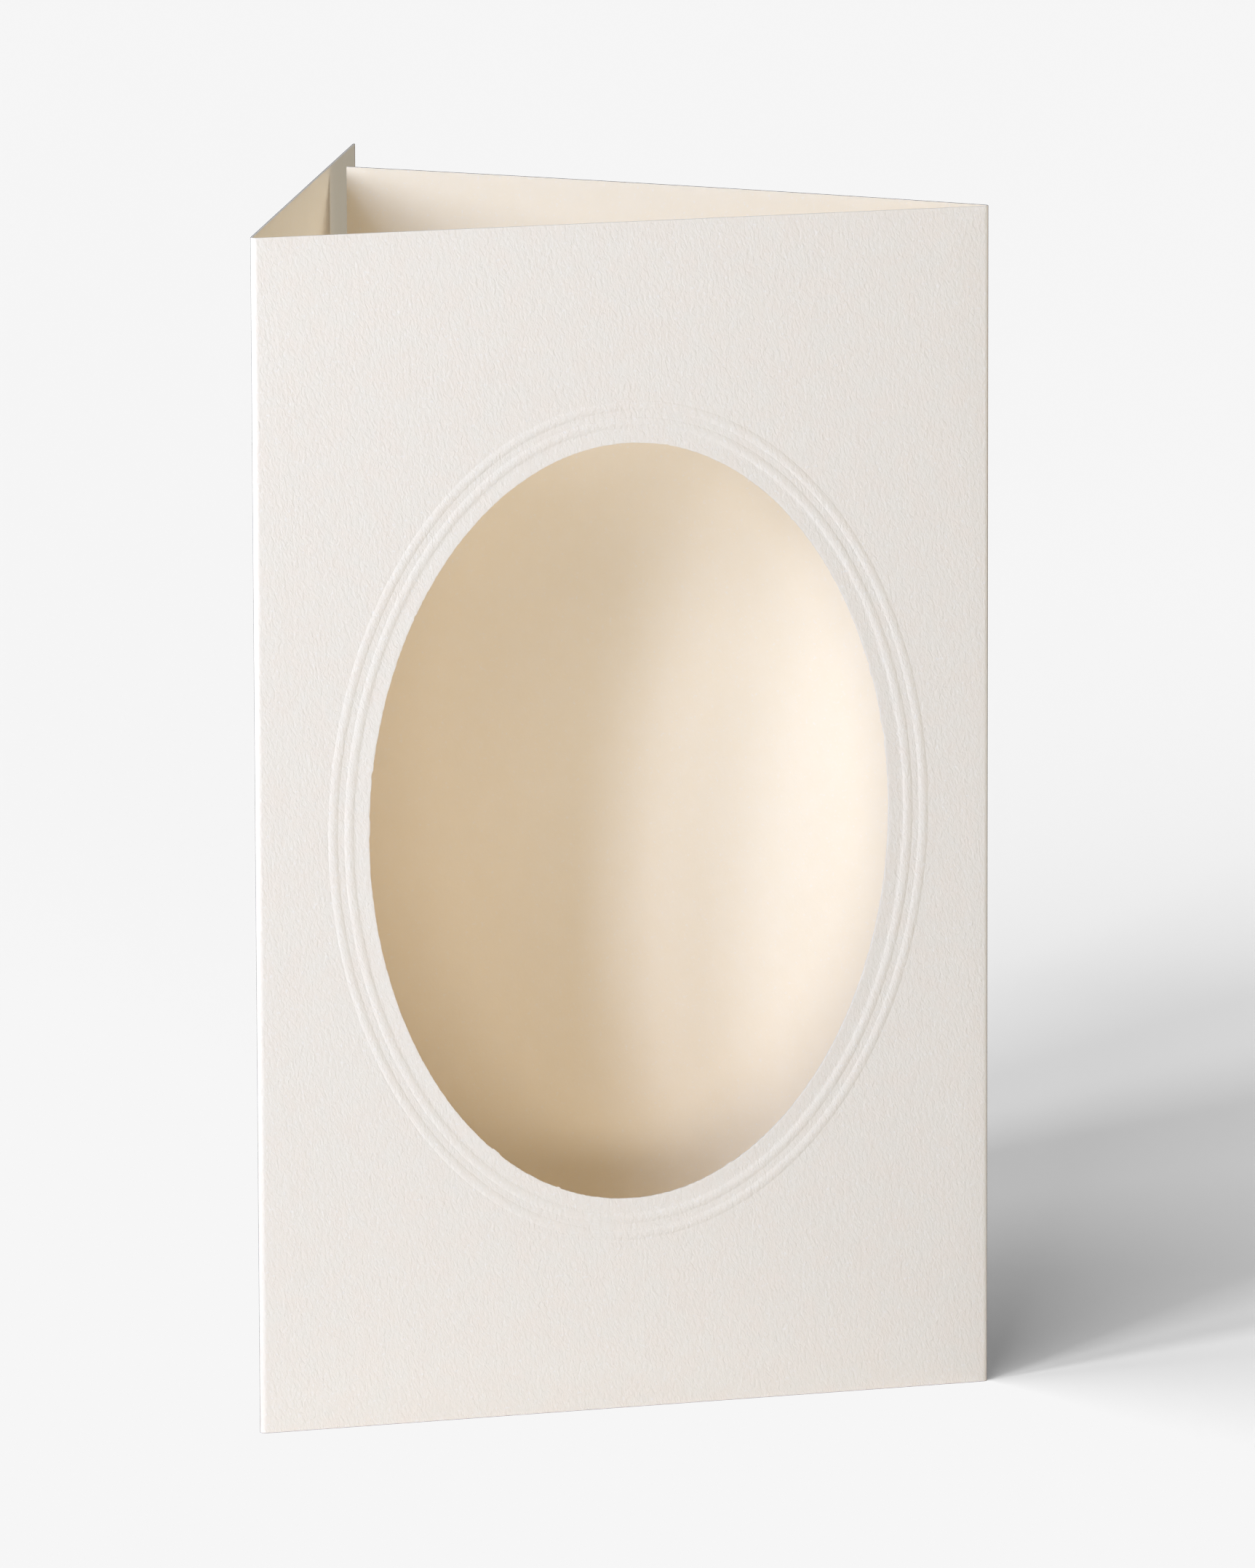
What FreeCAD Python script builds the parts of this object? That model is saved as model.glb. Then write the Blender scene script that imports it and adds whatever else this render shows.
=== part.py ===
# Greeting card with an oval window, made of one sheet of card folded twice. Millimetres.
#
# The card stands on its cut edges. The front panel lies along X and faces -Y. The flap runs back from the fold
# at its left, and the backing panel runs back behind the window from the fold at its right.
# +Z is up, and the origin is the centre of the card's box, on the surface that it stands on.
import FreeCAD
import Part
import Sketcher
import math
import os

Vector = FreeCAD.Vector

doc = FreeCAD.newDocument("GreetingCard")

# Driving dimensions
# Each one can be set by itself. The widths of the panels are measured over the rounded folds.
DIMENSIONS = [
    ("card_height", 170, "length of both folds"),
    ("front_width", 108.6, "front panel, from fold to fold"),
    ("flap_width", 108.6, "flap, from the left fold to its free edge"),
    ("backing_width", 103.2, "backing panel, from the right fold to its free edge"),
    ("sheet_thickness", 0.3, "thickness of the card"),
    ("fold_radius", 0.5, "inside radius of both folds"),
    ("backing_angle", 44.8, "opening between the front and the backing panel, in degrees"),
    ("backing_bow", 1.2, "how far the middle of the backing panel bows back"),
    ("edge_gap", 2.4, "clear gap from the free edge of the backing panel to the flap"),
    ("window_width", 77.1, "oval window, across"),
    ("window_height", 108.4, "oval window, up and down"),
    ("window_shift", 0.6, "middle of the window to the right of the front's middle"),
    ("window_drop", 0.5, "middle of the window below the middle of the card's height"),
    ("rim_width", 2.1, "rim between the window's edge and the foot of the inner bead"),
    ("bead_width", 1.55, "each embossed bead, from foot to foot"),
    ("bead_gap", 0.9, "flat between the two beads"),
    ("bead_height", 0.15, "top of each bead above the front"),
    ("bead_crown", 0.35, "top face of each bead, across"),
    ("bead_shoulder", 0.95, "each bead where its steep foot turns into the rounder top, across"),
    ("shoulder_drop", 0.055, "how far that turn lies below the top of the bead"),
    ("bead_root", 0.02, "how deep the foot of a bead starts below the face that it rises from"),
    ("rim_lift", 0.18, "how far the rim beside the window has risen where its section ends"),
    ("rim_overrun", 0.5, "how far the rim's section runs on past the edge that the window's cut leaves"),
]

sizes = doc.addObject("Spreadsheet::Sheet", "Sizes")
for row, (alias, number, meaning) in enumerate(DIMENSIONS, start=1):
    sizes.set(f"A{row}", alias)
    sizes.set(f"B{row}", str(number))
    sizes.set(f"C{row}", meaning)
    sizes.setAlias(f"B{row}", alias)
doc.recompute()


def size(alias):
    """The value of one driving dimension."""
    return float(sizes.get(alias))


# The card is one piece
card = doc.addObject("PartDesign::Body", "folded_card")
card.Label = "folded_card"

# Ends of a line or arc, and the middle of an arc or oval, as sketch constraints name them
START, END, MIDDLE = range(1, 4)

# The sketch's own axes, as sketch constraints name them
CROSS_AXIS, UPRIGHT_AXIS = range(-1, -3, -1)


def sketch_on(role, name):
    """An empty sketch on one of the card's own origin planes."""
    plane = next(p for p in card.Origin.OriginFeatures if p.Role == role)
    sketch = card.newObject("Sketcher::SketchObject", name)
    sketch.AttachmentSupport = [(plane, "")]
    sketch.MapMode = "FlatFace"
    return sketch


def constrain(sketch, kind, *where):
    """Adds a constraint that has no size."""
    sketch.addConstraint(Sketcher.Constraint(kind, *where))


def bind(sketch, name, kind, *where, to):
    """Adds a named constraint whose value follows a formula of the driving dimensions."""
    index = sketch.addConstraint(Sketcher.Constraint(kind, *where))
    sketch.renameConstraint(index, name)
    sketch.setExpression(f"Constraints.{name}", to)


def polar(radius, degrees):
    """The vector of this length, in this direction in a sketch's plane."""
    return Vector(radius * math.cos(math.radians(degrees)), radius * math.sin(math.radians(degrees)), 0)


def arc(centre, radius, start, end):
    """An arc from one angle to another, in degrees, anticlockwise."""
    circle = Part.Circle(centre, Vector(0, 0, 1), radius)
    return Part.ArcOfCircle(circle, math.radians(start), math.radians(end))


# Section of the folded sheet
# This is the sheet's cut edge seen from above. The outer skin of the front lies on the X axis, between two rounded
# folds, and the middle of the window is on the Y axis. The backing panel is a long shallow arc whose chord has the
# opening's angle. The flap is straight, and leans over from the left fold until it stands clear of the backing
# panel's free edge by the gap.
section = sketch_on("XY_Plane", "SheetSection")

thick = size("sheet_thickness")
inside = size("fold_radius")
outside = inside + thick
front_flat = size("front_width") - 2 * outside
front_left = -front_flat / 2 - size("window_shift")
front_right = front_left + front_flat
flap_flat = size("flap_width") - outside
chord = size("backing_width") - outside
bow_radius = chord**2 / (8 * size("backing_bow")) + size("backing_bow") / 2
half_bend = math.degrees(math.asin(chord / 2 / bow_radius))
bend_start = 90 - size("backing_angle") - half_bend
bend_end = 90 - size("backing_angle") + half_bend

left_fold = Vector(front_left, outside, 0)
right_fold = Vector(front_right, outside, 0)
bow_centre = right_fold - polar(bow_radius - outside, bend_start)
backing_start = bow_centre + polar(bow_radius, bend_start)
backing_end = bow_centre + polar(bow_radius, bend_end)
backing_corner = bow_centre + polar(bow_radius - thick, bend_end)

to_corner = backing_corner - left_fold
corner_way = math.degrees(math.atan2(to_corner.y, to_corner.x))
flap_way = corner_way + math.degrees(math.asin((size("edge_gap") - inside) / to_corner.Length))
flap_inner = left_fold + polar(inside, flap_way + 90)
flap_outer = left_fold + polar(outside, flap_way + 90)
flap_run = polar(flap_flat, flap_way)

FRONT_OUT, RIGHT_OUT, BACKING_OUT, BACKING_TIP, BACKING_IN, RIGHT_IN, FRONT_IN = range(7)
LEFT_IN, FLAP_IN, FLAP_TIP, FLAP_OUT, LEFT_OUT, BACKING_CHORD = range(7, 13)
section.addGeometry([
    Part.LineSegment(Vector(front_left, 0, 0), Vector(front_right, 0, 0)),
    arc(right_fold, outside, -90, bend_start),
    arc(bow_centre, bow_radius, bend_start, bend_end),
    Part.LineSegment(backing_end, backing_corner),
    arc(bow_centre, bow_radius - thick, bend_start, bend_end),
    arc(right_fold, inside, -90, bend_start),
    Part.LineSegment(Vector(front_right, thick, 0), Vector(front_left, thick, 0)),
    arc(left_fold, inside, flap_way + 90, 270),
    Part.LineSegment(flap_inner, flap_inner + flap_run),
    Part.LineSegment(flap_inner + flap_run, flap_outer + flap_run),
    Part.LineSegment(flap_outer + flap_run, flap_outer),
    arc(left_fold, outside, flap_way + 90, 270),
])
section.addGeometry(Part.LineSegment(backing_start, backing_end), True)

# The panels run smoothly into the folds
constrain(section, "Tangent", FRONT_OUT, END, RIGHT_OUT, START)
constrain(section, "Tangent", RIGHT_OUT, END, BACKING_OUT, START)
constrain(section, "Tangent", BACKING_IN, START, RIGHT_IN, END)
constrain(section, "Tangent", RIGHT_IN, START, FRONT_IN, START)
constrain(section, "Tangent", FRONT_IN, END, LEFT_IN, END)
constrain(section, "Tangent", LEFT_IN, START, FLAP_IN, START)
constrain(section, "Tangent", FLAP_OUT, END, LEFT_OUT, START)
constrain(section, "Tangent", LEFT_OUT, END, FRONT_OUT, START)

# The free edges are cut square
constrain(section, "Perpendicular", BACKING_OUT, END, BACKING_TIP, START)
constrain(section, "Coincident", BACKING_TIP, END, BACKING_IN, END)
constrain(section, "Perpendicular", FLAP_IN, END, FLAP_TIP, START)
constrain(section, "Perpendicular", FLAP_TIP, END, FLAP_OUT, START)

# Both skins bend about the same centres
constrain(section, "Coincident", RIGHT_OUT, MIDDLE, RIGHT_IN, MIDDLE)
constrain(section, "Coincident", LEFT_OUT, MIDDLE, LEFT_IN, MIDDLE)
constrain(section, "Coincident", BACKING_OUT, MIDDLE, BACKING_IN, MIDDLE)
constrain(section, "Equal", RIGHT_IN, LEFT_IN)
constrain(section, "Equal", RIGHT_OUT, LEFT_OUT)
bind(section, "fold_inside", "Radius", RIGHT_IN, inside, to="Sizes.fold_radius")
bind(section, "fold_outside", "Radius", RIGHT_OUT, outside, to="Sizes.fold_radius + Sizes.sheet_thickness")

# Front panel
constrain(section, "Horizontal", FRONT_OUT)
constrain(section, "PointOnObject", FRONT_OUT, START, CROSS_AXIS)
bind(section, "front_left", "DistanceX", FRONT_OUT, START, front_left,
     to="Sizes.fold_radius + Sizes.sheet_thickness - Sizes.front_width / 2 - Sizes.window_shift")
bind(section, "front_flat", "Distance", FRONT_OUT, front_flat,
     to="Sizes.front_width - 2 * (Sizes.fold_radius + Sizes.sheet_thickness)")

# Backing panel
constrain(section, "Coincident", BACKING_CHORD, START, BACKING_OUT, START)
constrain(section, "Coincident", BACKING_CHORD, END, BACKING_OUT, END)
bind(section, "backing_chord", "Distance", BACKING_CHORD, chord,
     to="Sizes.backing_width - Sizes.fold_radius - Sizes.sheet_thickness")
bind(section, "backing_opening", "Angle", BACKING_CHORD, START, FRONT_OUT, END,
     math.radians(size("backing_angle")), to="Sizes.backing_angle * 1 deg")
bind(section, "bow_radius", "Radius", BACKING_OUT, bow_radius,
     to="(Sizes.backing_width - Sizes.fold_radius - Sizes.sheet_thickness)^2 / (8 * Sizes.backing_bow)"
        " + Sizes.backing_bow / 2")

# Flap, whose opening follows from its gap to the backing panel
bind(section, "flap_flat", "Distance", FLAP_OUT, flap_flat,
     to="Sizes.flap_width - Sizes.fold_radius - Sizes.sheet_thickness")
bind(section, "edge_gap", "Distance", BACKING_TIP, END, FLAP_IN, size("edge_gap"), to="Sizes.edge_gap")

folded = card.newObject("PartDesign::Pad", "FoldedSheet")
folded.Profile = section
folded.setExpression("Length", "Sizes.card_height")


# Places that are sums of driving dimensions
def plus(terms, **more):
    """A sum of dimensions, as {name: how many times}, with some more of them added."""
    return {name: terms.get(name, 0) + more.get(name, 0) for name in {**terms, **more}}


def value(terms):
    """What a sum of dimensions comes to."""
    return sum(times * size(name) for name, times in terms.items())


def words(terms):
    """The formula of a sum of dimensions."""
    return " + ".join(f"({times}) * Sizes.{name}" for name, times in terms.items()) or "0"


# Ovals on the front
WINDOW_EDGE = {}
INNER_BEAD = {"rim_width": 1, "bead_width": 0.5}
OUTER_BEAD = {"rim_width": 1, "bead_width": 1.5, "bead_gap": 1}
WINDOW_MIDDLE = {"card_height": 0.5, "window_drop": -1}
WINDOW_TOP = plus(WINDOW_MIDDLE, window_height=0.5)


def oval(name, further):
    """An upright oval on the front's outer skin, further out than the window's edge by a sum of dimensions."""
    half_across = plus(further, window_width=0.5)
    half_up = plus(further, window_height=0.5)
    centre = Vector(0, value(WINDOW_MIDDLE), 0)
    top = centre + Vector(0, value(half_up), 0)
    side = centre - Vector(value(half_across), 0, 0)
    sketch = sketch_on("XZ_Plane", name)
    sketch.addGeometry(Part.Ellipse(top, side, centre))
    sketch.exposeInternalGeometry(0)
    curve, long_axis, short_axis = range(3)
    constrain(sketch, "PointOnObject", curve, MIDDLE, UPRIGHT_AXIS)
    constrain(sketch, "Vertical", long_axis)
    bind(sketch, "middle", "DistanceY", curve, MIDDLE, centre.y, to=words(WINDOW_MIDDLE))
    bind(sketch, "up_and_down", "Distance", long_axis, 2 * value(half_up), to=f"2 * ({words(half_up)})")
    bind(sketch, "across", "Distance", short_axis, 2 * value(half_across), to=f"2 * ({words(half_across)})")
    return sketch


# Embossed beads
# Each bead is a ridge on the front and a hollow of the same form behind it, so the sheet keeps its thickness. Both
# are one section, drawn where the bead crosses the top of the window and carried round the oval. Sketch X is depth
# from the front's outer skin, and sketch Y is height. The rim between the inner bead and the window rises towards
# the window's edge, and its section runs on a little, because the window is cut last.
def outline(sketch, corners):
    """A closed outline of straight lines, with each corner tied to its two sums of dimensions."""
    points = [Vector(value(across), value(up), 0) for across, up in corners]
    for start, end in zip(points, points[1:] + points[:1]):
        sketch.addGeometry(Part.LineSegment(start, end))
    for line, (point, (across, up)) in enumerate(zip(points, corners)):
        constrain(sketch, "Coincident", line, START, (line - 1) % len(points), END)
        bind(sketch, f"across_{line}", "DistanceX", line, START, point.x, to=words(across))
        bind(sketch, f"up_{line}", "DistanceY", line, START, point.y, to=words(up))


def bead_section(name, further, skin, rim):
    """The section of one bead as it rises from a skin of the sheet, closed half a thickness behind that skin."""
    foot_depth = plus(skin, bead_root=1)
    crown_depth = plus(skin, bead_height=-1)
    shoulder_depth = plus(crown_depth, shoulder_drop=1)
    behind = plus(skin, sheet_thickness=0.5)
    middle = plus(WINDOW_TOP, **further)
    upper_foot = plus(middle, bead_width=0.5)
    lower_foot = plus(middle, bead_width=-0.5)
    corners = [
        (foot_depth, upper_foot),
        (shoulder_depth, plus(middle, bead_shoulder=0.5)),
        (crown_depth, plus(middle, bead_crown=0.5)),
        (crown_depth, plus(middle, bead_crown=-0.5)),
        (shoulder_depth, plus(middle, bead_shoulder=-0.5)),
        (foot_depth, lower_foot),
    ]
    lowest = lower_foot
    if rim:
        lowest = plus(WINDOW_TOP, rim_overrun=-1)
        corners.append((plus(skin, rim_lift=-1), lowest))
    corners += [(behind, lowest), (behind, upper_foot)]
    sketch = sketch_on("YZ_Plane", name)
    outline(sketch, corners)
    return sketch


def carry_round(kind, name, profile, path):
    """Carries a section all the way round an oval, to add it to the card or to cut it from the card."""
    pipe = card.newObject(kind, name)
    pipe.Profile = profile
    pipe.Spine = (path, ["Edge1"])
    pipe.Mode = "Frenet"


OUTER_SKIN = {}
INNER_SKIN = {"sheet_thickness": 1}
for bead, further, rim in (("Outer", OUTER_BEAD, False), ("Inner", INNER_BEAD, True)):
    path = oval(bead + "BeadPath", further)
    ridge = bead_section(bead + "RidgeSection", further, OUTER_SKIN, rim)
    hollow = bead_section(bead + "HollowSection", further, INNER_SKIN, rim)
    carry_round("PartDesign::AdditivePipe", bead + "BeadRidge", ridge, path)
    carry_round("PartDesign::SubtractivePipe", bead + "BeadHollow", hollow, path)

# Oval window
# It is cut through the front only, and reaches as far to each side of the skin as beads, rim and sheet together.
window = card.newObject("PartDesign::Pocket", "Window")
window.Profile = oval("WindowOutline", WINDOW_EDGE)
window.SideType = "Symmetric"
window.setExpression("Length", "2 * (Sizes.sheet_thickness + Sizes.bead_height + Sizes.rim_lift)")

# Place of the card
# It is moved so that the centre of its box, at the bottom, is the origin.
doc.recompute()
reach = card.Shape.optimalBoundingBox(False, False)
card.Placement.Base = Vector(-reach.Center.x, -reach.Center.y, -reach.ZMin)
doc.recompute()

# Tests before anything is written
for item in doc.Objects:
    if "Invalid" in item.State or "Error" in item.State:
        raise RuntimeError(f"{item.Name} did not come out: {item.State}")
for sketch in doc.findObjects("Sketcher::SketchObject"):
    if not sketch.FullyConstrained:
        raise RuntimeError(f"{sketch.Name} is free to move")
volume = 0.0
for feature in doc.findObjects("PartDesign::Feature"):
    if feature.isDerivedFrom("PartDesign::Body") or not hasattr(feature, "AddSubShape"):
        continue
    change = feature.Shape.Volume - volume
    volume += change
    cuts = feature.Name == "Window" or feature.Name.endswith("Hollow")
    print(f"{feature.Name}: {change:+.2f} mm3")
    if (change < 0) != cuts:
        raise RuntimeError(f"{feature.Name} has changed the volume the wrong way")
if card.Shape.isNull() or not card.Shape.isValid() or len(card.Shape.Solids) != 1:
    raise RuntimeError("the card is not one sound solid")

box = card.Shape.optimalBoundingBox(False, False)
print(f"card: {card.Shape.Volume:.1f} mm3, X {box.XMin:.3f} to {box.XMax:.3f}, "
      f"Y {box.YMin:.3f} to {box.YMax:.3f}, Z {box.ZMin:.3f} to {box.ZMax:.3f}")
print(f"front to flap: {flap_way:.2f} degrees, outer skin of the front at Y {card.Placement.Base.y:.4f}")

os.makedirs("parts", exist_ok=True)
card.Shape.exportStep(f"parts/{card.Label}.step")
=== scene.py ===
# %% [markdown]
# A greeting card with an oval window
#
# The real card is one sheet of cream card. It was embossed and die-cut while it was flat, then scored
# and folded twice, and it stands by itself on the cut edges of its three panels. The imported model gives
# the sheet's size and place. The scene makes the same sheet again as a finer mesh, with rounded beads,
# a lifted rim and softly worn cut edges, and then gives each side of the card its own finish.

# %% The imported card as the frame
import math
import random
import bmesh
import bpy
from mathutils import Matrix, Vector


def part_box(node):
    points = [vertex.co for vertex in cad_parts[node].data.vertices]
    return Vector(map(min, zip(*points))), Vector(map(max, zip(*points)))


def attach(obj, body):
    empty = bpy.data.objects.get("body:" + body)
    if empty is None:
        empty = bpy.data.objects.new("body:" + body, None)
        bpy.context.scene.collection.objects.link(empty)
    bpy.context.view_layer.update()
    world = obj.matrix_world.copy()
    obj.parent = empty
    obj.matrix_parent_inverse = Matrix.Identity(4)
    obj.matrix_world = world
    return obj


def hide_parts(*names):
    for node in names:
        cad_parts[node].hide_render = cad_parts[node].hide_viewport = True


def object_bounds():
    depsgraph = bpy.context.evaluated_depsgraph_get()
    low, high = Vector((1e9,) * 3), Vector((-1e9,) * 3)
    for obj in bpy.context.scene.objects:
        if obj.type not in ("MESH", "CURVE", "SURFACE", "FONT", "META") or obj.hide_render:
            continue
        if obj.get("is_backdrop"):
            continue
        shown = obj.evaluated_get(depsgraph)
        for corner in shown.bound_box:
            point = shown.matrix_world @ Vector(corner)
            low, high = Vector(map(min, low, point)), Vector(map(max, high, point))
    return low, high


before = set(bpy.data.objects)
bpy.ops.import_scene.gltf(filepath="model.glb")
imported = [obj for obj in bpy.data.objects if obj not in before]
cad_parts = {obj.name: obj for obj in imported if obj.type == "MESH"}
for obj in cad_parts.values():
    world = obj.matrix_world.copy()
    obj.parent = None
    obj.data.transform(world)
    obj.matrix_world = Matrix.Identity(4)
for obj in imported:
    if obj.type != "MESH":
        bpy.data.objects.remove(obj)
CAD_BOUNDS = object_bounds()
low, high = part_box("folded_card")
print("packed card, in millimetres:", [round(1000 * side, 2) for side in high - low])

# %% [markdown]
# A long lens stands some 1.9 metres away, a little to the left of the card and a little above it. Lines
# that run back from the card hardly come together at that distance, which is how small objects are
# mostly photographed. The camera is turned by three angles, one after the other, because they can be
# read as the angles of a tripod.

# %% Camera
CAMERA_PLACE = Vector((-0.5623, -1.8016, 0.4052))
CAMERA_TURN = math.radians(17.8)
CAMERA_TILT = math.radians(9.72)
CAMERA_LEAN = math.radians(-0.19)
LENS = 303.4

camera = bpy.data.objects.new("camera", bpy.data.cameras.new("camera"))
camera.data.lens = LENS
turned = Matrix.Rotation(-CAMERA_TURN, 4, "Z")
tilted = Matrix.Rotation(math.pi / 2 - CAMERA_TILT, 4, "X")
leaned = Matrix.Rotation(CAMERA_LEAN, 4, "Z")
camera.matrix_world = Matrix.Translation(CAMERA_PLACE) @ turned @ tilted @ leaned
bpy.context.scene.collection.objects.link(camera)
bpy.context.scene.camera = camera
print("camera is", round((CAMERA_PLACE - (low + high) / 2).length, 2), "m from the card")

# %% [markdown]
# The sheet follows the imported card. What its box can tell is read from the box: the height, the width
# of the front and the place of its outer skin. The rest are the maker's sizes, in metres. The window
# stands a hair to the right of the front's middle and a hair low, as die-cut windows do. The packed
# card keeps 0.15 millimetres for the height of the beads. Here they are a little lower and a tenth of a
# millimetre narrower, which is nearer to how they look in the photograph.

# %% Sizes of the sheet
MM = 0.001
THICK = 0.3 * MM
FOLD_INSIDE = 0.5 * MM
FOLD_OUTSIDE = FOLD_INSIDE + THICK
WINDOW_WIDTH = 77.1 * MM
WINDOW_HEIGHT = 108.4 * MM
WINDOW_SHIFT = 0.6 * MM
WINDOW_DROP = 0.5 * MM
RIM_WIDTH = 2.2 * MM
BEAD_WIDTH = 1.42 * MM
BEAD_GAP = 0.93 * MM
BEAD_HEIGHT = 0.15 * MM
BEAD_CROWN = 0.13 * MM
RIM_LIFT = 0.11 * MM

HEIGHT = high.z - low.z
SKIN = low.y + BEAD_HEIGHT
LEFT_FOLD = Vector((low.x + FOLD_OUTSIDE, SKIN + FOLD_OUTSIDE, 0))
RIGHT_FOLD = Vector((high.x - FOLD_OUTSIDE, SKIN + FOLD_OUTSIDE, 0))
WINDOW_CENTRE = Vector((WINDOW_SHIFT, SKIN, HEIGHT / 2 - WINDOW_DROP))
print("front from fold to fold:", round((RIGHT_FOLD.x - LEFT_FOLD.x) / MM, 1), "mm")

# %% [markdown]
# The oval is where the card has its finest form, so the mesh starts there. A circle is stretched to the
# window's edge. From it, ring after ring is extruded outward and moved a little towards the viewer or
# back, so the rings trace the section of the card: a rim that lifts towards the cut, and two round
# beads with a flat between them. A bead's section is part of a parabola, because pressed card rounds
# over at the crown and meets the flat at a clear foot.

# %% Section of the rim and the beads
ROUND = 640
RIM_STEPS = 6
ACROSS_BEAD = (0, 0.02, 0.1, 0.2, 0.3, 0.4, 0.5, 0.6, 0.7, 0.8, 0.9, 0.98, 1)
SOFT_FOOT = 0.04 * MM
FLAT_BEYOND = 2.2 * MM


def bead_section(foot):
    """Places and heights across one bead, from its inner foot to its outer foot."""
    return [(foot + BEAD_WIDTH * part, BEAD_CROWN * 4 * part * (1 - part)) for part in ACROSS_BEAD]


OUTER_FOOT = RIM_WIDTH + BEAD_WIDTH + BEAD_GAP
rim = [(RIM_WIDTH * step / RIM_STEPS, RIM_LIFT * (1 - step / RIM_STEPS)) for step in range(RIM_STEPS)]
section = rim + bead_section(RIM_WIDTH)
section += [(RIM_WIDTH + BEAD_WIDTH + SOFT_FOOT, 0), (OUTER_FOOT - SOFT_FOOT, 0)]
section += bead_section(OUTER_FOOT)
section += [(OUTER_FOOT + BEAD_WIDTH + SOFT_FOOT, 0), (OUTER_FOOT + BEAD_WIDTH + FLAT_BEYOND, 0)]
print(len(section), "rings round the window, the last", round(section[-1][0] / MM, 2), "mm from its edge")

# %% Rings round the window
bpy.ops.object.select_all(action="DESELECT")
bpy.ops.mesh.primitive_circle_add(vertices=ROUND, radius=0.5, rotation=(math.pi / 2, 0, 0))
card = bpy.context.object
card.name = "card_sheet"
card.scale = (WINDOW_WIDTH, WINDOW_HEIGHT, 1)
card.location = WINDOW_CENTRE - Vector((0, RIM_LIFT, 0))
bpy.ops.object.transform_apply()
bpy.ops.object.mode_set(mode="EDIT")
bpy.ops.mesh.select_all(action="SELECT")
for (inner, was), (outer, now) in zip(section, section[1:]):
    wider = (WINDOW_WIDTH + 2 * outer) / (WINDOW_WIDTH + 2 * inner)
    taller = (WINDOW_HEIGHT + 2 * outer) / (WINDOW_HEIGHT + 2 * inner)
    bpy.ops.mesh.extrude_edges_move(TRANSFORM_OT_translate={"value": (0, was - now, 0)})
    bpy.ops.transform.resize(value=(wider, 1, taller), center_override=WINDOW_CENTRE)
bpy.ops.object.mode_set(mode="OBJECT")
print(len(card.data.vertices), "vertices in the rings")

# %% [markdown]
# Operators work on what is selected, so a few small helpers choose vertices by their place and report
# how many they found. Going through bmesh only to select leaves all the shaping to the same operators
# that the menus offer.

# %% Choosing vertices by their place
NEAR = 0.01 * MM


def choose(piece, test):
    """In edit mode, selects the vertices that pass a test of their place, and what lies between them."""
    bpy.ops.mesh.select_mode(type="VERT")
    bpy.ops.mesh.select_all(action="DESELECT")
    shape = bmesh.from_edit_mesh(piece.data)
    for vertex in shape.verts:
        vertex.select_set(test(vertex.co))
    shape.select_flush(True)
    bmesh.update_edit_mesh(piece.data)
    return sum(vertex.select for vertex in shape.verts)


print("a vertex is in its place within", round(NEAR / MM, 3), "mm")

# %% [markdown]
# A cutting rule that has seen some use doesn't leave a perfect oval. The edge wavers by a few
# hundredths of a millimetre, and here and there a tuft of fibres stands out or a crumb is missing. This
# is done while there is only one loop of vertices at the edge, so that the wavering later runs straight
# through the thickness of the card.

# %% Wavering of the cut edge
WAVER = 0.035 * MM
NICKS = 14
NICK_DEPTHS = (-0.16 * MM, -0.11 * MM, 0.08 * MM, 0.12 * MM)
NICK_REACH = (0.25 * MM, 0.6 * MM)
SEED = 8


def on_cut(place):
    """Whether a vertex lies on the cut edge of the window."""
    away = place - WINDOW_CENTRE
    return abs(math.hypot(away.x / WINDOW_WIDTH, away.z / WINDOW_HEIGHT) - 0.5) * WINDOW_WIDTH < NEAR


bpy.ops.object.mode_set(mode="EDIT")
chance = random.Random(SEED)
for _ in range(NICKS):
    round_at = chance.uniform(0, 2 * math.pi)
    spot = Vector((WINDOW_WIDTH / 2 * math.cos(round_at), 0, WINDOW_HEIGHT / 2 * math.sin(round_at)))
    depth = chance.choice(NICK_DEPTHS)
    reach = chance.uniform(*NICK_REACH)
    choose(card, lambda place: on_cut(place) and (place - WINDOW_CENTRE - spot).length < reach)
    bpy.ops.transform.translate(value=spot.normalized() * depth)
count = choose(card, on_cut)
bpy.ops.transform.vertex_random(offset=WAVER, uniform=1, seed=SEED)
bpy.ops.object.mode_set(mode="OBJECT")
print(count, "of", ROUND, "vertices waver, and the others are in the nicks and tufts")

# %% [markdown]
# The front's straight outline is a plane of its own with the face taken out. Its sides are cut into as
# many pieces as the last ring has, so that the two loops can be bridged with clean four-sided faces
# that fan out from the oval to the corners.

# %% Outline of the front
UP = 200
ACROSS = ROUND // 2 - UP
FRONT_MIDDLE = Vector((0, SKIN, HEIGHT / 2))

bpy.ops.object.mode_set(mode="EDIT")
bpy.ops.mesh.select_all(action="DESELECT")
bpy.ops.mesh.primitive_plane_add(size=1, location=FRONT_MIDDLE, rotation=(math.pi / 2, 0, 0))
bpy.ops.transform.resize(value=(RIGHT_FOLD.x - LEFT_FOLD.x, 1, HEIGHT), center_override=FRONT_MIDDLE)
bpy.ops.mesh.delete(type="ONLY_FACE")


def cut_up(piece, test, parts):
    """Cuts a straight edge into an even number of parts, halves first, as 100 cuts at once are the most."""
    for cuts in (1, parts // 2 - 1):
        choose(piece, test)
        bpy.ops.mesh.subdivide(number_cuts=cuts)


for side in (LEFT_FOLD.x, RIGHT_FOLD.x):
    cut_up(card, lambda place: abs(place.x - side) < NEAR, UP)
for level in (0, HEIGHT):
    cut_up(card, lambda place: abs(place.z - level) < NEAR, ACROSS)
print("outline of the front:", 2 * (UP + ACROSS), "pieces for a ring of", ROUND)

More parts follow.
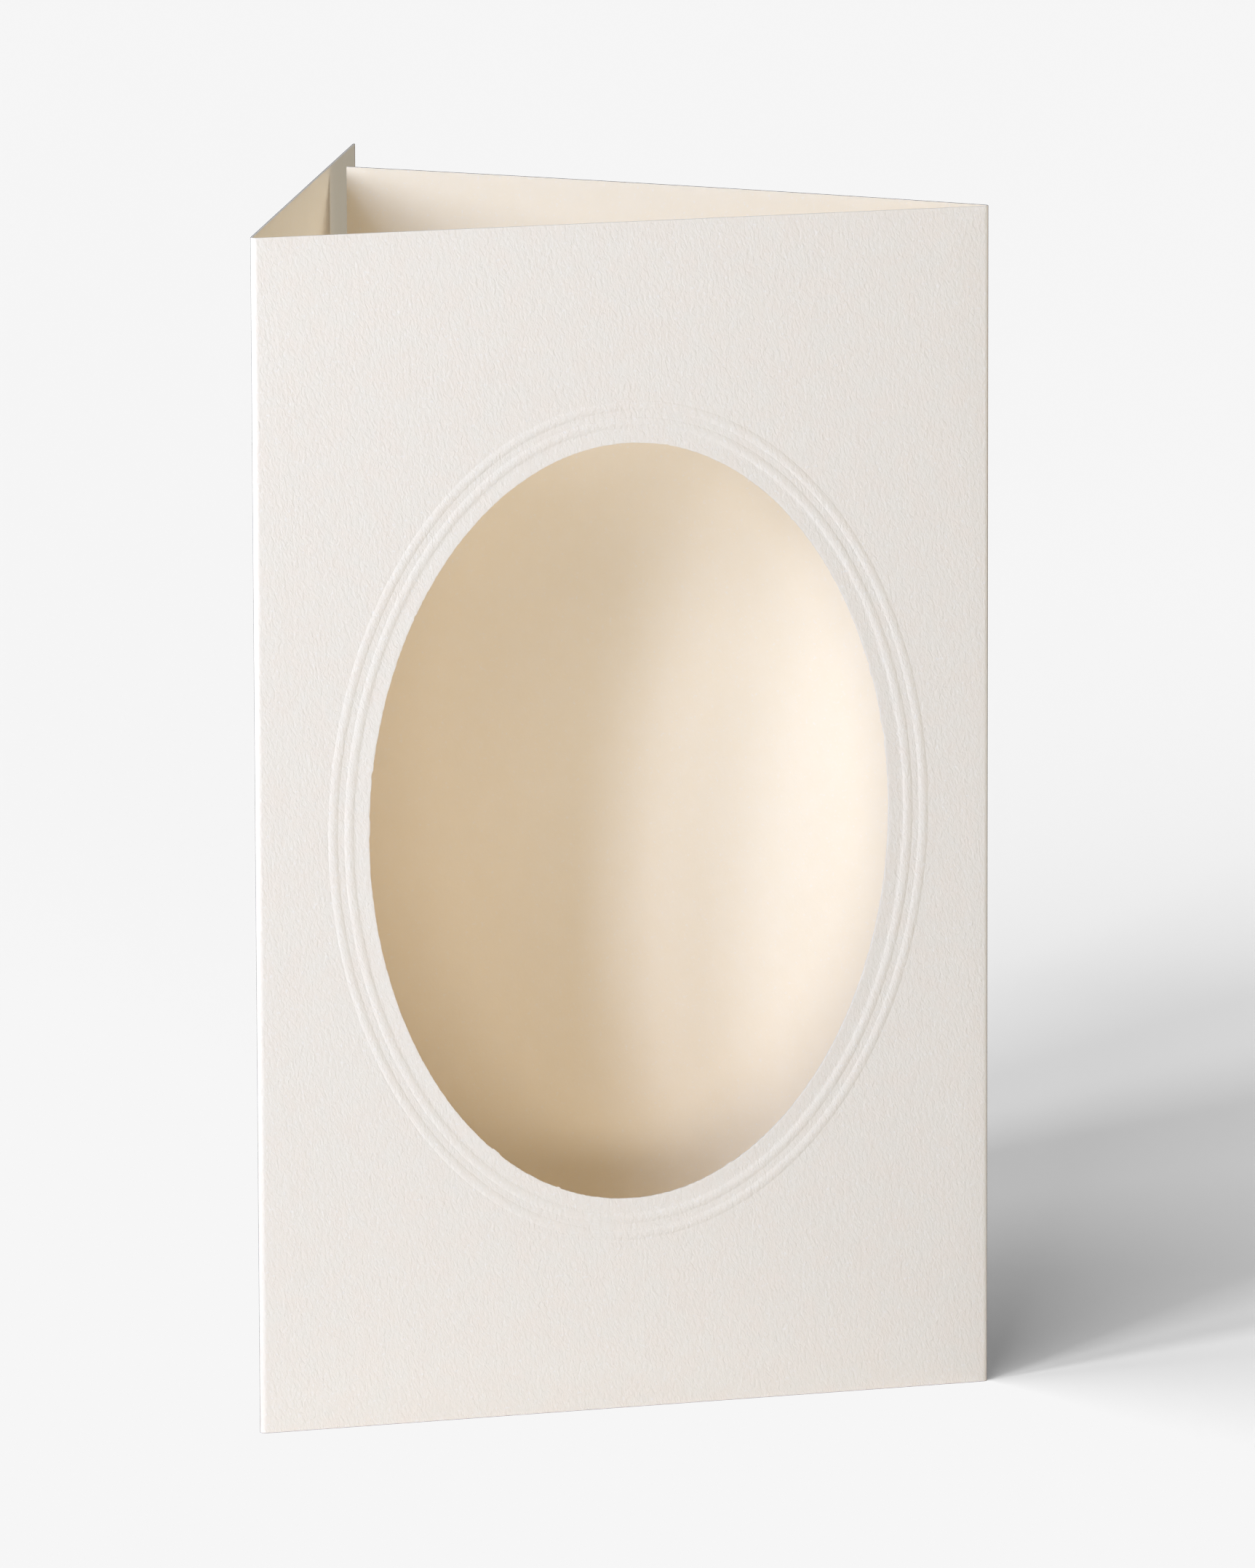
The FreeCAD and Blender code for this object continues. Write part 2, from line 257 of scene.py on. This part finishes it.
# %% Front joined to the rings
half_width = WINDOW_WIDTH / 2 + section[-1][0]
half_height = WINDOW_HEIGHT / 2 + section[-1][0]
RADIAL_CUTS = 3


def on_outline(place):
    """Whether a vertex lies on the straight outline of the front."""
    beside = min(abs(place.x - LEFT_FOLD.x), abs(place.x - RIGHT_FOLD.x))
    return min(beside, abs(place.z), abs(place.z - HEIGHT)) < NEAR


def on_last_ring(place):
    """Whether a vertex lies on the outermost ring."""
    away = place - WINDOW_CENTRE
    return abs(math.hypot(away.x / half_width, away.z / half_height) - 1) * half_width < NEAR


count = choose(card, lambda place: on_outline(place) or on_last_ring(place))
bpy.ops.mesh.bridge_edge_loops(number_cuts=RADIAL_CUTS, interpolation="LINEAR")
bpy.ops.object.mode_set(mode="OBJECT")
print(count, "vertices bridged,", len(card.data.polygons), "faces in the front")

# %% [markdown]
# Card that is scored and folded bends in a small round, never at a sharp line. Each fold is the front's
# side edge spun about an upright axis behind it, and a positive angle turns it clockwise as seen from
# above. The flap then runs on straight. The backing panel has taken a slight set from being folded, so
# it is spun on with a very long radius.

# %% Opening of the panels
FLAP_WIDTH = 108.6 * MM
BACKING_WIDTH = 103.2 * MM
BACKING_OPENING = math.radians(44.8)
BACKING_BOW = 1.2 * MM

flap_flat = FLAP_WIDTH - FOLD_OUTSIDE
rise = high.y - LEFT_FOLD.y
flap_opening = math.atan2(flap_flat, FOLD_OUTSIDE) - math.acos(rise / math.hypot(flap_flat, FOLD_OUTSIDE))
chord = BACKING_WIDTH - FOLD_OUTSIDE
bow_radius = chord**2 / (8 * BACKING_BOW) + BACKING_BOW / 2
half_bow = math.asin(chord / 2 / bow_radius)
print("front to flap:", round(math.degrees(flap_opening), 2), "degrees")

# %% Left fold and flap
FOLD_STEPS = 12
FLAP_STEPS = 12
UPRIGHT = (0, 0, 1)


def pull(way, steps):
    """Extrudes the selected edge along a vector, in equal steps."""
    for _ in range(steps):
        bpy.ops.mesh.extrude_edges_move(TRANSFORM_OT_translate={"value": way / steps})


bpy.ops.object.mode_set(mode="EDIT")
choose(card, lambda place: abs(place.x - LEFT_FOLD.x) < NEAR)
bpy.ops.mesh.spin(steps=FOLD_STEPS, angle=math.pi - flap_opening, center=LEFT_FOLD, axis=UPRIGHT)
pull(Vector((math.cos(flap_opening), math.sin(flap_opening), 0)) * flap_flat, FLAP_STEPS)
bpy.ops.object.mode_set(mode="OBJECT")
print("box with the flap:", [round(side / MM, 2) for side in card.dimensions])

# %% Right fold and backing panel
BACKING_STEPS = 24

bend = math.pi - BACKING_OPENING - half_bow
to_fold = Vector((math.cos(bend - math.pi / 2), math.sin(bend - math.pi / 2), 0))
bow_centre = RIGHT_FOLD - to_fold * (bow_radius - FOLD_OUTSIDE)

bpy.ops.object.mode_set(mode="EDIT")
choose(card, lambda place: abs(place.x - RIGHT_FOLD.x) < NEAR and place.y < SKIN + NEAR)
bpy.ops.mesh.spin(steps=FOLD_STEPS, angle=-bend, center=RIGHT_FOLD, axis=UPRIGHT)
bpy.ops.mesh.spin(steps=BACKING_STEPS, angle=-2 * half_bow, center=bow_centre, axis=UPRIGHT)
bpy.ops.mesh.select_all(action="SELECT")
bpy.ops.mesh.remove_doubles(threshold=NEAR / 10)
bpy.ops.mesh.normals_make_consistent(inside=False)
bpy.ops.object.mode_set(mode="OBJECT")
beside_window = FRONT_MIDDLE + Vector((50 * MM, 0, 0))
front_face = min(card.data.polygons, key=lambda face: (face.center - beside_window).length)
print("front faces", [round(part, 2) for part in front_face.normal], len(card.data.polygons), "faces")

# %% [markdown]
# The sheet so far has no thickness. Solidify gives it one, and grows it inward, so the outer skin stays
# where it is and each bead gets a hollow behind it, as in pressed card. The modifier also sorts the
# faces: the outside keeps the first material, the inside takes the second and the cut edges take the
# third.

# %% Thickness of the card
FINISHES = ("card outside", "card inside", "card cut edge")
CUT_EDGE = FINISHES.index("card cut edge")
for finish in FINISHES:
    card.data.materials.append(bpy.data.materials.new(finish))

bpy.ops.object.select_all(action="DESELECT")
card.select_set(True)
bpy.context.view_layer.objects.active = card
if front_face.normal.y > 0:
    bpy.ops.object.mode_set(mode="EDIT")
    bpy.ops.mesh.select_all(action="SELECT")
    bpy.ops.mesh.flip_normals()
    bpy.ops.object.mode_set(mode="OBJECT")
thickness = card.modifiers.new("thickness", "SOLIDIFY")
thickness.thickness = THICK
thickness.offset = -1
thickness.use_even_offset = True
thickness.material_offset = FINISHES.index("card inside")
thickness.material_offset_rim = CUT_EDGE
bpy.ops.object.modifier_apply(modifier=thickness.name)
print(len(card.data.polygons), "faces with the thickness")

# %% [markdown]
# A blade leaves the edge of card slightly rounded. The faces of the cut edges are known by their
# material, so their outlines can be selected and bevelled in one go.

# %% Softened cut edges
EDGE_ROUND = 0.035 * MM
SMOOTH_BELOW = math.radians(32)

bpy.ops.object.mode_set(mode="EDIT")
bpy.ops.mesh.select_mode(type="FACE")
bpy.ops.mesh.select_all(action="DESELECT")
card.active_material_index = CUT_EDGE
bpy.ops.object.material_slot_select()
bpy.ops.mesh.region_to_loop()
bpy.ops.mesh.bevel(offset=EDGE_ROUND, segments=2, profile=0.6, affect="EDGES", material=CUT_EDGE)
bpy.ops.object.mode_set(mode="OBJECT")
bpy.ops.object.shade_smooth_by_angle(angle=SMOOTH_BELOW)
triangles = sum(len(face.vertices) - 2 for face in card.data.polygons)
print("card sheet:", triangles, "triangles, box", [round(side / MM, 2) for side in card.dimensions])

# %% [markdown]
# The floor is a wide plane that takes the card's shadow and shows nothing else of itself, so that the
# pale ground runs without a horizon into the pale background.

# %% Floor
FLOOR_SIDE = 12
FLOOR_PAINT = (0.93, 0.93, 0.93, 1)

bpy.ops.object.select_all(action="DESELECT")
bpy.ops.mesh.primitive_plane_add(size=FLOOR_SIDE)
floor = bpy.context.object
floor.name = "floor"
floor.is_shadow_catcher = True
paint = bpy.data.materials.new("floor paint")
paint.use_nodes = True
shader = paint.node_tree.nodes["Principled BSDF"]
shader.inputs["Base Color"].default_value = FLOOR_PAINT
shader.inputs["Roughness"].default_value = 0.9
floor.data.materials.append(paint)
floor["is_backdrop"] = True
print("floor:", round(floor.dimensions.x), "m wide, catches shadows:", floor.is_shadow_catcher)

# %% [markdown]
# The outside was pressed between felts while the paper was wet, and the felts left soft marks, a
# quarter of a millimetre wide and under a millimetre long, that lean a little. The marks are a node
# group, because both sides of the card show them and only differ in how strong they are. A noise that
# is squeezed sideways gives strokes rather than spots, and a little distortion keeps them from running
# dead straight. The group reads Object coordinates, so the pattern is tied to the card and keeps its
# real size.


# %% Felt marks
def new_group(name, inputs, outputs):
    """A shader node group with number inputs and their usual values, and number outputs."""
    group = bpy.data.node_groups.new(name, "ShaderNodeTree")
    for label, value in inputs.items():
        socket = group.interface.new_socket(label, in_out="INPUT", socket_type="NodeSocketFloat")
        socket.default_value = value
    for label in outputs:
        group.interface.new_socket(label, in_out="OUTPUT", socket_type="NodeSocketFloat")
    return group, group.nodes.new("NodeGroupInput"), group.nodes.new("NodeGroupOutput")


def add_node(tree, kind, label, **settings):
    """A node of the given kind, with its settings, named by what it is there for."""
    node = tree.nodes.new(kind)
    node.label = label
    for setting, value in settings.items():
        setattr(node, setting, value)
    return node


felt, given, gives = new_group(
    "felt marks", {"Marks per Metre": 2100.0, "Length": 1.9, "Slant": 0.22}, ("Height", "Patches")
)
place = add_node(felt, "ShaderNodeTexCoord", "place on the card")
slant = add_node(felt, "ShaderNodeVectorRotate", "lean of the marks", rotation_type="Y_AXIS")
shorten = add_node(felt, "ShaderNodeMath", "squeeze along the marks", operation="DIVIDE")
shorten.inputs[0].default_value = 1
squeeze = add_node(felt, "ShaderNodeCombineXYZ", "squeeze")
squeeze.inputs["X"].default_value = 1
squeeze.inputs["Y"].default_value = 1
stroke = add_node(felt, "ShaderNodeVectorMath", "squeezed place", operation="MULTIPLY")
marks = add_node(felt, "ShaderNodeTexNoise", "marks")
marks.inputs["Detail"].default_value = 2.5
marks.inputs["Roughness"].default_value = 0.55
marks.inputs["Distortion"].default_value = 0.6
coarse = add_node(felt, "ShaderNodeMath", "patches per metre", operation="MULTIPLY")
coarse.inputs[1].default_value = 0.15
patches = add_node(felt, "ShaderNodeTexNoise", "patches")
patches.inputs["Detail"].default_value = 3
felt.links.new(place.outputs["Object"], slant.inputs["Vector"])
felt.links.new(given.outputs["Slant"], slant.inputs["Angle"])
felt.links.new(given.outputs["Length"], shorten.inputs[1])
felt.links.new(shorten.outputs[0], squeeze.inputs["Z"])
felt.links.new(slant.outputs[0], stroke.inputs[0])
felt.links.new(squeeze.outputs[0], stroke.inputs[1])
felt.links.new(stroke.outputs[0], marks.inputs["Vector"])
felt.links.new(given.outputs["Marks per Metre"], marks.inputs["Scale"])
felt.links.new(given.outputs["Marks per Metre"], coarse.inputs[0])
felt.links.new(slant.outputs[0], patches.inputs["Vector"])
felt.links.new(coarse.outputs[0], patches.inputs["Scale"])
felt.links.new(marks.outputs[0], gives.inputs["Height"])
felt.links.new(patches.outputs[0], gives.inputs["Patches"])
print("felt marks:", len(felt.nodes), "nodes")

# %% [markdown]
# Under the felt marks lies the grain of the paper itself, short fibres about a tenth of a millimetre
# thick. All three finishes use it: it roughens both sides a little, and the cut edges much more, where
# the blade tore the fibres.

# %% Paper grain
grain, given, gives = new_group("paper grain", {"Fibres per Metre": 7000.0}, ("Height", "Flecks"))
place = add_node(grain, "ShaderNodeTexCoord", "place on the card")
fibres = add_node(grain, "ShaderNodeTexNoise", "fibres")
fibres.inputs["Detail"].default_value = 2
fibres.inputs["Distortion"].default_value = 1.2
sparse = add_node(grain, "ShaderNodeMath", "flecks per metre", operation="MULTIPLY")
sparse.inputs[1].default_value = 0.3
flecks = add_node(grain, "ShaderNodeTexNoise", "flecks")
flecks.inputs["Detail"].default_value = 1
few = add_node(grain, "ShaderNodeMapRange", "only the palest flecks")
few.inputs["From Min"].default_value = 0.62
few.inputs["From Max"].default_value = 0.80
grain.links.new(place.outputs["Object"], fibres.inputs["Vector"])
grain.links.new(place.outputs["Object"], flecks.inputs["Vector"])
grain.links.new(given.outputs["Fibres per Metre"], fibres.inputs["Scale"])
grain.links.new(given.outputs["Fibres per Metre"], sparse.inputs[0])
grain.links.new(sparse.outputs[0], flecks.inputs["Scale"])
grain.links.new(flecks.outputs[0], few.inputs["Value"])
grain.links.new(fibres.outputs[0], gives.inputs["Height"])
grain.links.new(few.outputs[0], gives.inputs["Flecks"])
print("paper grain:", len(grain.nodes), "nodes")

# %% [markdown]
# A finish puts the two groups together. The patches mix a cooler and a warmer tone of the card, the
# flecks add the palest fibres, and marks and grain are added up into one height for the bump. Card has
# hardly any gloss, so the roughness is high everywhere and only the grain moves it.


# %% Finishes of the card
def paper(name, tones, mark_depth, grain_depth, fibres_per_metre):
    """A paper finish with a cool, a warm and a pale tone. The depths of marks and grain are in metres."""
    cool, warm, pale = tones
    material = bpy.data.materials[name]
    material.use_nodes = True
    tree = material.node_tree
    shader = tree.nodes["Principled BSDF"]
    marks = add_node(tree, "ShaderNodeGroup", "felt marks", node_tree=felt)
    fine = add_node(tree, "ShaderNodeGroup", "paper grain", node_tree=grain)
    fine.inputs["Fibres per Metre"].default_value = fibres_per_metre

    spread = add_node(tree, "ShaderNodeMapRange", "spread of the patches")
    spread.inputs["From Min"].default_value = 0.35
    spread.inputs["From Max"].default_value = 0.65
    tone = add_node(tree, "ShaderNodeMix", "cool and warm tone", data_type="RGBA")
    tone.inputs["A"].default_value = (*cool, 1)
    tone.inputs["B"].default_value = (*warm, 1)
    flecked = add_node(tree, "ShaderNodeMix", "pale fibres", data_type="RGBA")
    flecked.inputs["B"].default_value = (*pale, 1)
    tree.links.new(marks.outputs["Patches"], spread.inputs["Value"])
    tree.links.new(spread.outputs[0], tone.inputs["Factor"])
    tree.links.new(fine.outputs["Flecks"], flecked.inputs["Factor"])
    tree.links.new(tone.outputs["Result"], flecked.inputs["A"])
    tree.links.new(flecked.outputs["Result"], shader.inputs["Base Color"])

    matt = add_node(tree, "ShaderNodeMapRange", "roughness from the grain")
    matt.inputs["To Min"].default_value = 0.78
    matt.inputs["To Max"].default_value = 0.94
    tree.links.new(fine.outputs["Height"], matt.inputs["Value"])
    tree.links.new(matt.outputs[0], shader.inputs["Roughness"])

    marks_height = add_node(tree, "ShaderNodeMath", "height of the marks", operation="MULTIPLY")
    marks_height.inputs[1].default_value = mark_depth
    height = add_node(tree, "ShaderNodeMath", "marks and grain", operation="MULTIPLY_ADD")
    height.inputs[1].default_value = grain_depth
    bump = add_node(tree, "ShaderNodeBump", "relief")
    bump.inputs["Distance"].default_value = 1
    tree.links.new(marks.outputs["Height"], marks_height.inputs[0])
    tree.links.new(fine.outputs["Height"], height.inputs[0])
    tree.links.new(marks_height.outputs[0], height.inputs[2])
    tree.links.new(height.outputs[0], bump.inputs["Height"])
    tree.links.new(bump.outputs[0], shader.inputs["Normal"])
    print(name, "has", len(tree.nodes), "nodes")


OUTSIDE_TONES = ((0.90, 0.852, 0.765), (0.908, 0.842, 0.75), (0.93, 0.89, 0.83))
INSIDE_TONES = ((0.967, 0.888, 0.75), (0.962, 0.878, 0.73), (0.97, 0.915, 0.83))
CUT_TONES = ((0.88, 0.86, 0.82), (0.90, 0.86, 0.80), (0.93, 0.92, 0.90))
paper("card outside", OUTSIDE_TONES, mark_depth=0.125 * MM, grain_depth=0.006 * MM, fibres_per_metre=7000)
paper("card inside", INSIDE_TONES, mark_depth=0.02 * MM, grain_depth=0.004 * MM, fibres_per_metre=8000)
paper("card cut edge", CUT_TONES, mark_depth=0.02 * MM, grain_depth=0.03 * MM, fibres_per_metre=9000)

# %% [markdown]
# The light is that of a bright room. A window stands to the left in front of the card, in two panes,
# because a mullion gives the shadow inside the card its two soft steps. A second window lies further
# round to the left, and a little light comes from behind, which lets the shadow on the floor run out to
# the right. A low, wide light in front fills the lower part of the card. The windows are a little cool
# and the fill is a little warm, which helps the inside of the card turn from pale to tan.
#
# Studios screen a light off with black boards where it isn't wanted, and light linking does the same in
# the scene. The ceiling and a white board on the right light the card alone, down into the window and
# the flap. One more window lights the floor alone, so the shadow stays soft and pale while the card
# keeps its own light.

# %% Light
LAMP_DISTANCE = 1.0
COOL_DAYLIGHT = (0.885, 1.0, 1.26)
SOFT_DAYLIGHT = (0.98, 1.0, 1.04)
WARM_FILL = (1.08, 1.0, 0.90)
CREAM_BOARD = (1.03, 1.0, 0.92)
WHITE = (1, 1, 1)


def soft_light(name, azimuth, elevation, width, height, power, colour):
    """A lamp that faces the card, in degrees, metres and watts. Azimuth grows from the front to the left."""
    lamp = bpy.data.lights.new(name, "AREA")
    lamp.shape = "RECTANGLE"
    lamp.size = width
    lamp.size_y = height
    lamp.energy = power
    lamp.color = colour
    holder = bpy.data.objects.new(name, lamp)
    bpy.context.scene.collection.objects.link(holder)
    turn, lift = math.radians(azimuth), math.radians(elevation)
    away = Vector((-math.sin(turn) * math.cos(lift), -math.cos(turn) * math.cos(lift), math.sin(lift)))
    holder.location = FRONT_MIDDLE + away * LAMP_DISTANCE
    holder.rotation_euler = away.to_track_quat("Z", "Y").to_euler()
    return holder


def lights_only(lamps, piece):
    """Keeps the light of some lamps to one piece."""
    lit = bpy.data.collections.new("lit: " + piece.name)
    lit.objects.link(piece)
    for lamp in lamps:
        lamp.light_linking.receiver_collection = lit


soft_light("window, near pane", 50, 19, 0.18, 0.62, 2.85, COOL_DAYLIGHT)
soft_light("window, far pane", 66, 26, 0.14, 0.64, 2.2, COOL_DAYLIGHT)
soft_light("side window", 98, 24, 0.50, 0.40, 2.4, SOFT_DAYLIGHT)
soft_light("light from behind", 128, 23, 0.45, 0.35, 1.5, WHITE)
soft_light("front fill", 12, 0, 0.50, 0.14, 2.6, WARM_FILL)
ceiling = soft_light("ceiling", 14, 40, 0.40, 0.30, 0.85, WARM_FILL)
board = soft_light("white board on the right", -84, 32, 0.30, 0.30, 2.8, CREAM_BOARD)
across = soft_light("window across the floor", 34, 27, 0.40, 0.30, 2.3, WHITE)
lights_only([ceiling, board], card)
lights_only([across], floor)
watts = sum(lamp.energy for lamp in bpy.data.lights)
print(len(bpy.data.lights), "lamps,", round(watts, 1), "watts in all")

# %% [markdown]
# The room itself gives a faint warm light from all sides. What the camera sees past the floor is a pale
# backdrop of the same tone as the floor in the photograph, and it lights nothing, because only camera
# rays meet it. The inside of the card is a pale hollow, and light goes to and fro in it many times, so
# the number of bounces of diffuse light is raised.

# %% Room and backdrop
ROOM_LIGHT = (1.0, 0.97, 0.92, 1)
ROOM_STRENGTH = 0.055
BACKDROP = (0.922, 0.922, 0.922, 1)
BOUNCES = 10

world = bpy.data.worlds.new("studio")
bpy.context.scene.world = world
world.use_nodes = True
nodes, links = world.node_tree.nodes, world.node_tree.links
ambient = nodes["Background"]
ambient.inputs["Color"].default_value = ROOM_LIGHT
ambient.inputs["Strength"].default_value = ROOM_STRENGTH
backdrop = nodes.new("ShaderNodeBackground")
backdrop.inputs["Color"].default_value = BACKDROP
seen = nodes.new("ShaderNodeLightPath")
mix = nodes.new("ShaderNodeMixShader")
links.new(seen.outputs["Is Camera Ray"], mix.inputs[0])
links.new(ambient.outputs[0], mix.inputs[1])
links.new(backdrop.outputs[0], mix.inputs[2])
links.new(mix.outputs[0], nodes["World Output"].inputs["Surface"])
bpy.context.scene.view_settings.view_transform = "Standard"
bpy.context.scene.cycles.diffuse_bounces = BOUNCES
print("backdrop", BACKDROP[0], "and", BOUNCES, "diffuse bounces")

# %% [markdown]
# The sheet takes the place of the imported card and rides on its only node. The boxes before and after
# are written down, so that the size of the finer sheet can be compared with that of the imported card.

# %% Hand over
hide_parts("folded_card")
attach(card, "root")
for label, (lowest, highest) in (("packed card", CAD_BOUNDS), ("finer sheet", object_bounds())):
    print(label, [round((there - here) / MM, 2) for here, there in zip(lowest, highest)], "mm")
